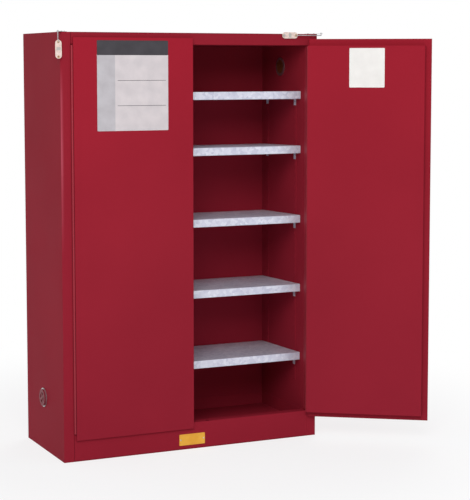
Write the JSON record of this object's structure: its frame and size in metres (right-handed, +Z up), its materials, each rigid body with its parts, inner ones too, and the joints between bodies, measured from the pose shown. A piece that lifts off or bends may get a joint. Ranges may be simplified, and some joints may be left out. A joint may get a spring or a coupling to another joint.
{
  "type": "safety storage cabinet",
  "caption": "Double-wall steel cabinet for flammable liquids with two doors, hanging shelves, a sump, vents and fusible-link hold-opens.",
  "frame": {"origin": "middle of the cabinet footprint, on the floor", "axes": "+Z up, the doors face -Y, +X to the right seen from the front"},
  "size_m": [1.4844, 0.7556, 1.6575],
  "materials": {
    "shell_red": "satin powder coat",
    "door_red": "satin powder coat",
    "galvanised": "galvanised sheet",
    "plated_steel": "plated",
    "zinc": "zinc plated",
    "brass": "plain",
    "link_metal": "dull, soldered",
    "handle_black": "satin",
    "nylon": "moulded"
  },
  "bodies": {
    "cabinet": {"left_side_panel": "shell_red", "right_side_panel": "shell_red", "back_panel": "shell_red", "top_panel": "shell_red", "base_panel": "shell_red", "header_rail": "shell_red", "sill_rail": "shell_red", "left_liner": "shell_red", "right_liner": "shell_red", "back_liner": "shell_red", "ceiling_liner": "shell_red", "sump_pan": "shell_red", "shelf_standards_left": "shell_red", "shelf_standards_right": "shell_red", "shelf_clips": "galvanised", "shelf_1": "galvanised", "shelf_2": "galvanised", "shelf_3": "galvanised", "shelf_4": "galvanised", "shelf_5": "galvanised", "left_hinge_frame_leaf": "shell_red", "left_hinge_pin": "plated_steel", "right_hinge_frame_leaf": "shell_red", "right_hinge_pin": "plated_steel", "left_vent_tube": "plated_steel", "right_vent_tube": "plated_steel", "left_vent_bung": "plated_steel", "right_vent_bung": "plated_steel", "left_flame_arrester": "brass", "right_flame_arrester": "brass", "ground_stud": "brass", "ground_nut": "brass", "foot_bridges": "zinc", "hook_straps": "plated_steel", "left_link_hook": "plated_steel", "right_link_hook": "plated_steel", "link_anchor": "plated_steel", "right_fusible_link": "link_metal"},
    "left_door": {"left_door_skin": "door_red", "left_door_pan": "door_red", "left_hinge_door_leaf": "shell_red"},
    "right_door": {"right_door_skin": "door_red", "right_door_pan": "door_red", "right_hinge_door_leaf": "shell_red", "handle_plate": "plated_steel", "rod_guides": "nylon"},
    "handle": {"latch_handle": "handle_black", "latch_cam": "plated_steel"},
    "lock": {"lock_plug": "plated_steel"},
    "upper_rod": {"upper_latch_rod": "plated_steel"},
    "lower_rod": {"lower_latch_rod": "plated_steel"},
    "hanging_link": {"left_fusible_link": "link_metal"},
    "front_left_levelling_foot": {"front_left_foot": "zinc"},
    "front_right_levelling_foot": {"front_right_foot": "zinc"},
    "rear_left_levelling_foot": {"rear_left_foot": "zinc"},
    "rear_right_levelling_foot": {"rear_right_foot": "zinc"}
  },
  "joints": [
    {"name": "left_door_hinge", "type": "hinge", "parent": "cabinet", "child": "left_door", "pos_m": [-0.5021, -0.2331, 0], "axis": [0, 0, -1], "range_deg": [0, 145.5]},
    {"name": "right_door_hinge", "type": "hinge", "parent": "cabinet", "child": "right_door", "pos_m": [0.5021, -0.2331, 0], "axis": [0, 0, 1], "range_deg": [-145.5, 0]},
    {"name": "handle_turn", "type": "hinge", "parent": "right_door", "child": "handle", "pos_m": [0.8648, -0.48237, 0.86], "axis": [-0.5664, -0.8241, 0], "range_deg": [0, 90]},
    {"name": "lock_turn", "type": "hinge", "parent": "handle", "child": "lock", "pos_m": [0.8648, -0.48237, 0.86], "axis": [-0.5664, -0.8241, 0], "range_deg": [0, 90]},
    {"name": "upper_rod_slide", "type": "slide", "parent": "right_door", "child": "upper_rod", "axis": [0, 0, 1], "range_m": [0, 0.01698]},
    {"name": "lower_rod_slide", "type": "slide", "parent": "right_door", "child": "lower_rod", "axis": [0, 0, -1], "range_m": [0, 0.01698]},
    {"name": "link_swing", "type": "hinge", "parent": "cabinet", "child": "hanging_link", "pos_m": [-0.5581, -0.2446, 1.613], "axis": [0, 1, 0], "range_deg": [-8, 60]},
    {"name": "front_left_foot_screw", "type": "slide", "parent": "cabinet", "child": "front_left_levelling_foot", "axis": [0, 0, -1], "range_m": [0, 0.015]},
    {"name": "front_right_foot_screw", "type": "slide", "parent": "cabinet", "child": "front_right_levelling_foot", "axis": [0, 0, -1], "range_m": [0, 0.015]},
    {"name": "rear_left_foot_screw", "type": "slide", "parent": "cabinet", "child": "rear_left_levelling_foot", "axis": [0, 0, -1], "range_m": [0, 0.015]},
    {"name": "rear_right_foot_screw", "type": "slide", "parent": "cabinet", "child": "rear_right_levelling_foot", "axis": [0, 0, -1], "range_m": [0, 0.015]}
  ],
  "couplings": [
    {"joint": "upper_rod_slide", "follows": "handle_turn", "m_per_rad": 0.010804},
    {"joint": "lower_rod_slide", "follows": "handle_turn", "m_per_rad": 0.010804}
  ]
}
